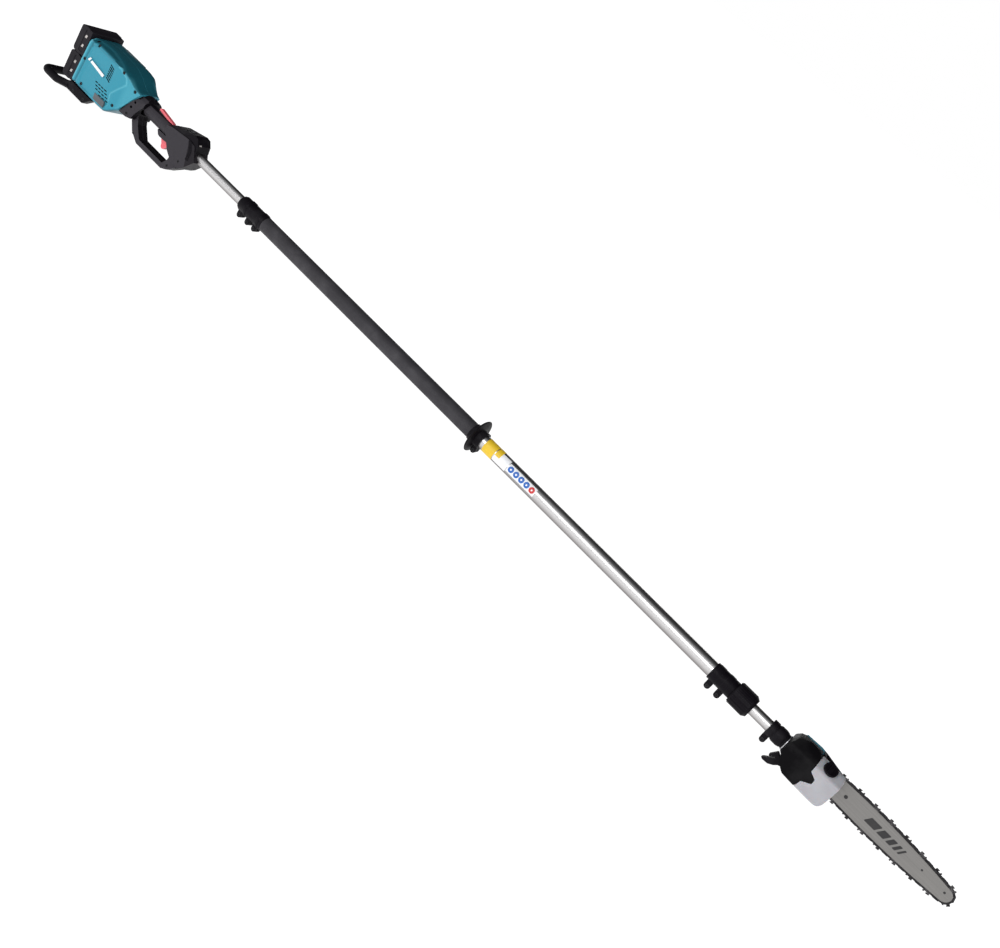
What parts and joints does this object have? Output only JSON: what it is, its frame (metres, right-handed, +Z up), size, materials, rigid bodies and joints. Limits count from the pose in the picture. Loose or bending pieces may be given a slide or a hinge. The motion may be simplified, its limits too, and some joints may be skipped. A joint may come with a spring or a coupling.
{
  "type": "telescoping pole saw",
  "caption": "Battery pole saw with two slide-in packs, a trigger handle, a telescoping pole with a hand guard, and a geared cutting head with guide bar, chain and oil tank.",
  "frame": {"origin": "under the middle of the tool's length, on the plane that the rear guard rests on", "axes": "+X forward along the pole to the nose of the guide bar, +Y to the tool's left, +Z up"},
  "size_m": [2.8333, 0.114, 0.1755],
  "materials": {
    "teal_plastic": "moulded, fine grain",
    "charcoal_plastic": "moulded, fine grain",
    "black_plastic": "moulded, satin",
    "pack_plastic": "moulded, satin",
    "grip_rubber": "soft foam-like grip",
    "grey_rubber": "soft key",
    "red_plastic": "moulded, satin",
    "tank_plastic": "translucent white, moulded",
    "nylon": "natural",
    "satin_aluminium": "satin anodised",
    "cast_alloy": "cast, sandblasted",
    "steel": "turned and ground",
    "bar_steel": "brushed lengthwise",
    "chain_steel": "blued",
    "cutter_steel": "hard chromed",
    "black_screw": "black oxide",
    "brass_contact": "bright",
    "copper_winding": "enamelled copper wire",
    "circuit_board": "lacquered",
    "battery_cell": "sleeved cell"
  },
  "bodies": {
    "tool": {"housing_right": "teal_plastic", "housing_left": "teal_plastic", "housing_screws": "black_screw", "battery_mount": "black_plastic", "battery_terminals": "brass_contact", "controller_board": "circuit_board", "motor_stator": "copper_winding", "shaft_bearings": "steel", "rear_guard": "black_plastic", "handle_right": "charcoal_plastic", "handle_left": "charcoal_plastic", "handle_screws": "black_screw", "trigger_switch": "black_plastic", "control_panel": "black_plastic", "rear_tube": "satin_aluminium", "rear_clamp": "black_plastic", "outer_tube": "satin_aluminium", "grip_sleeve": "grip_rubber", "hand_guard": "black_plastic", "front_holder": "black_plastic", "clamp_screws": "black_screw", "locking_collet": "black_plastic"},
    "drive": {"motor_rotor": "steel", "cooling_fan": "black_plastic", "rear_drive_shaft": "steel"},
    "upper_battery": {"upper_battery_case": "pack_plastic", "upper_battery_cells": "battery_cell"},
    "upper_button": {"upper_battery_button": "red_plastic"},
    "lower_battery": {"lower_battery_case": "pack_plastic", "lower_battery_cells": "battery_cell"},
    "lower_button": {"lower_battery_button": "red_plastic"},
    "trigger": {"trigger": "red_plastic"},
    "lock_off_lever": {"lock_off_lever": "red_plastic"},
    "power_button": {"power_button": "grey_rubber"},
    "mode_button": {"mode_button": "grey_rubber"},
    "lock_sleeve": {"lock_sleeve": "charcoal_plastic"},
    "head": {"inner_tube": "satin_aluminium", "slide_bush": "nylon", "head_clamp": "black_plastic", "head_clamp_screw": "black_screw", "gear_case": "cast_alloy", "head_cover": "charcoal_plastic", "branch_hook": "black_plastic", "oil_tank": "tank_plastic", "oil_pump": "brass_contact", "sprocket_cover": "teal_plastic", "bar_studs": "steel", "bar_nuts": "steel", "tension_screw": "steel", "guide_bar": "bar_steel", "chain_drive_links": "chain_steel", "chain_tie_straps": "chain_steel", "chain_cutters": "cutter_steel"},
    "front_shaft": {"front_drive_shaft": "steel", "pinion_gear": "steel"},
    "sprocket": {"face_gear": "steel", "sprocket_shaft": "steel", "drive_sprocket": "steel"},
    "nose": {"nose_sprocket": "steel"},
    "cap": {"oil_cap": "black_plastic"}
  },
  "joints": [
    {"name": "telescope", "type": "slide", "parent": "tool", "child": "head", "axis": [1, 0, 0], "range_m": [0, 1.05]},
    {"name": "lock_sleeve_twist", "type": "hinge", "parent": "tool", "child": "lock_sleeve", "pos_m": [0.8925, 0, 0.109], "axis": [1, 0, 0], "range_deg": [0, 90]},
    {"name": "trigger_pull", "type": "hinge", "parent": "tool", "child": "trigger", "pos_m": [-0.9935, 0, 0.094], "axis": [0, 1, 0], "range_deg": [0, 12], "stiffness_Nm_per_rad": 0.7, "springref_deg": -11.46},
    {"name": "lever_press", "type": "hinge", "parent": "tool", "child": "lock_off_lever", "pos_m": [-0.9995, 0, 0.1205], "axis": [0, -1, 0], "range_deg": [0, 7], "stiffness_Nm_per_rad": 0.4, "springref_deg": -8.59},
    {"name": "upper_battery_slide", "type": "slide", "parent": "tool", "child": "upper_battery", "axis": [0, 1, 0], "range_m": [0, 0.115]},
    {"name": "upper_button_press", "type": "slide", "parent": "upper_battery", "child": "upper_button", "axis": [0, -1, 0], "range_m": [0, 0.003], "stiffness_N_per_m": 1500, "springref_m": -0.002},
    {"name": "lower_battery_slide", "type": "slide", "parent": "tool", "child": "lower_battery", "axis": [0, 1, 0], "range_m": [0, 0.115]},
    {"name": "lower_button_press", "type": "slide", "parent": "lower_battery", "child": "lower_button", "axis": [0, -1, 0], "range_m": [0, 0.003], "stiffness_N_per_m": 1500, "springref_m": -0.002},
    {"name": "power_button_press", "type": "slide", "parent": "tool", "child": "power_button", "axis": [0.2226, 0, -0.9749], "range_m": [0, 0.001], "stiffness_N_per_m": 1500, "springref_m": -0.001},
    {"name": "mode_button_press", "type": "slide", "parent": "tool", "child": "mode_button", "axis": [0.2226, 0, -0.9749], "range_m": [0, 0.001], "stiffness_N_per_m": 1500, "springref_m": -0.001},
    {"name": "rotor_spin", "type": "hinge", "parent": "tool", "child": "drive", "pos_m": [-1.1735, 0, 0.109], "axis": [1, 0, 0], "continuous": true},
    {"name": "front_shaft_spin", "type": "hinge", "parent": "head", "child": "front_shaft", "pos_m": [1.0225, 0, 0.109], "axis": [1, 0, 0], "continuous": true},
    {"name": "sprocket_spin", "type": "hinge", "parent": "head", "child": "sprocket", "pos_m": [1.0475, 0, 0.109], "axis": [0, 1, 0], "continuous": true},
    {"name": "nose_spin", "type": "hinge", "parent": "head", "child": "nose", "pos_m": [1.3939, 0.018, 0.109], "axis": [0, 1, 0], "continuous": true},
    {"name": "oil_cap_turn", "type": "hinge", "parent": "head", "child": "cap", "pos_m": [1.0955, -0.0205, 0.14241], "axis": [0, -0.454, 0.891], "range_deg": [0, 90]}
  ],
  "couplings": [
    {"joint": "front_shaft_spin", "follows": "rotor_spin", "ratio": 1},
    {"joint": "sprocket_spin", "follows": "rotor_spin", "ratio": 0.5},
    {"joint": "nose_spin", "follows": "rotor_spin", "ratio": 0.33333}
  ]
}
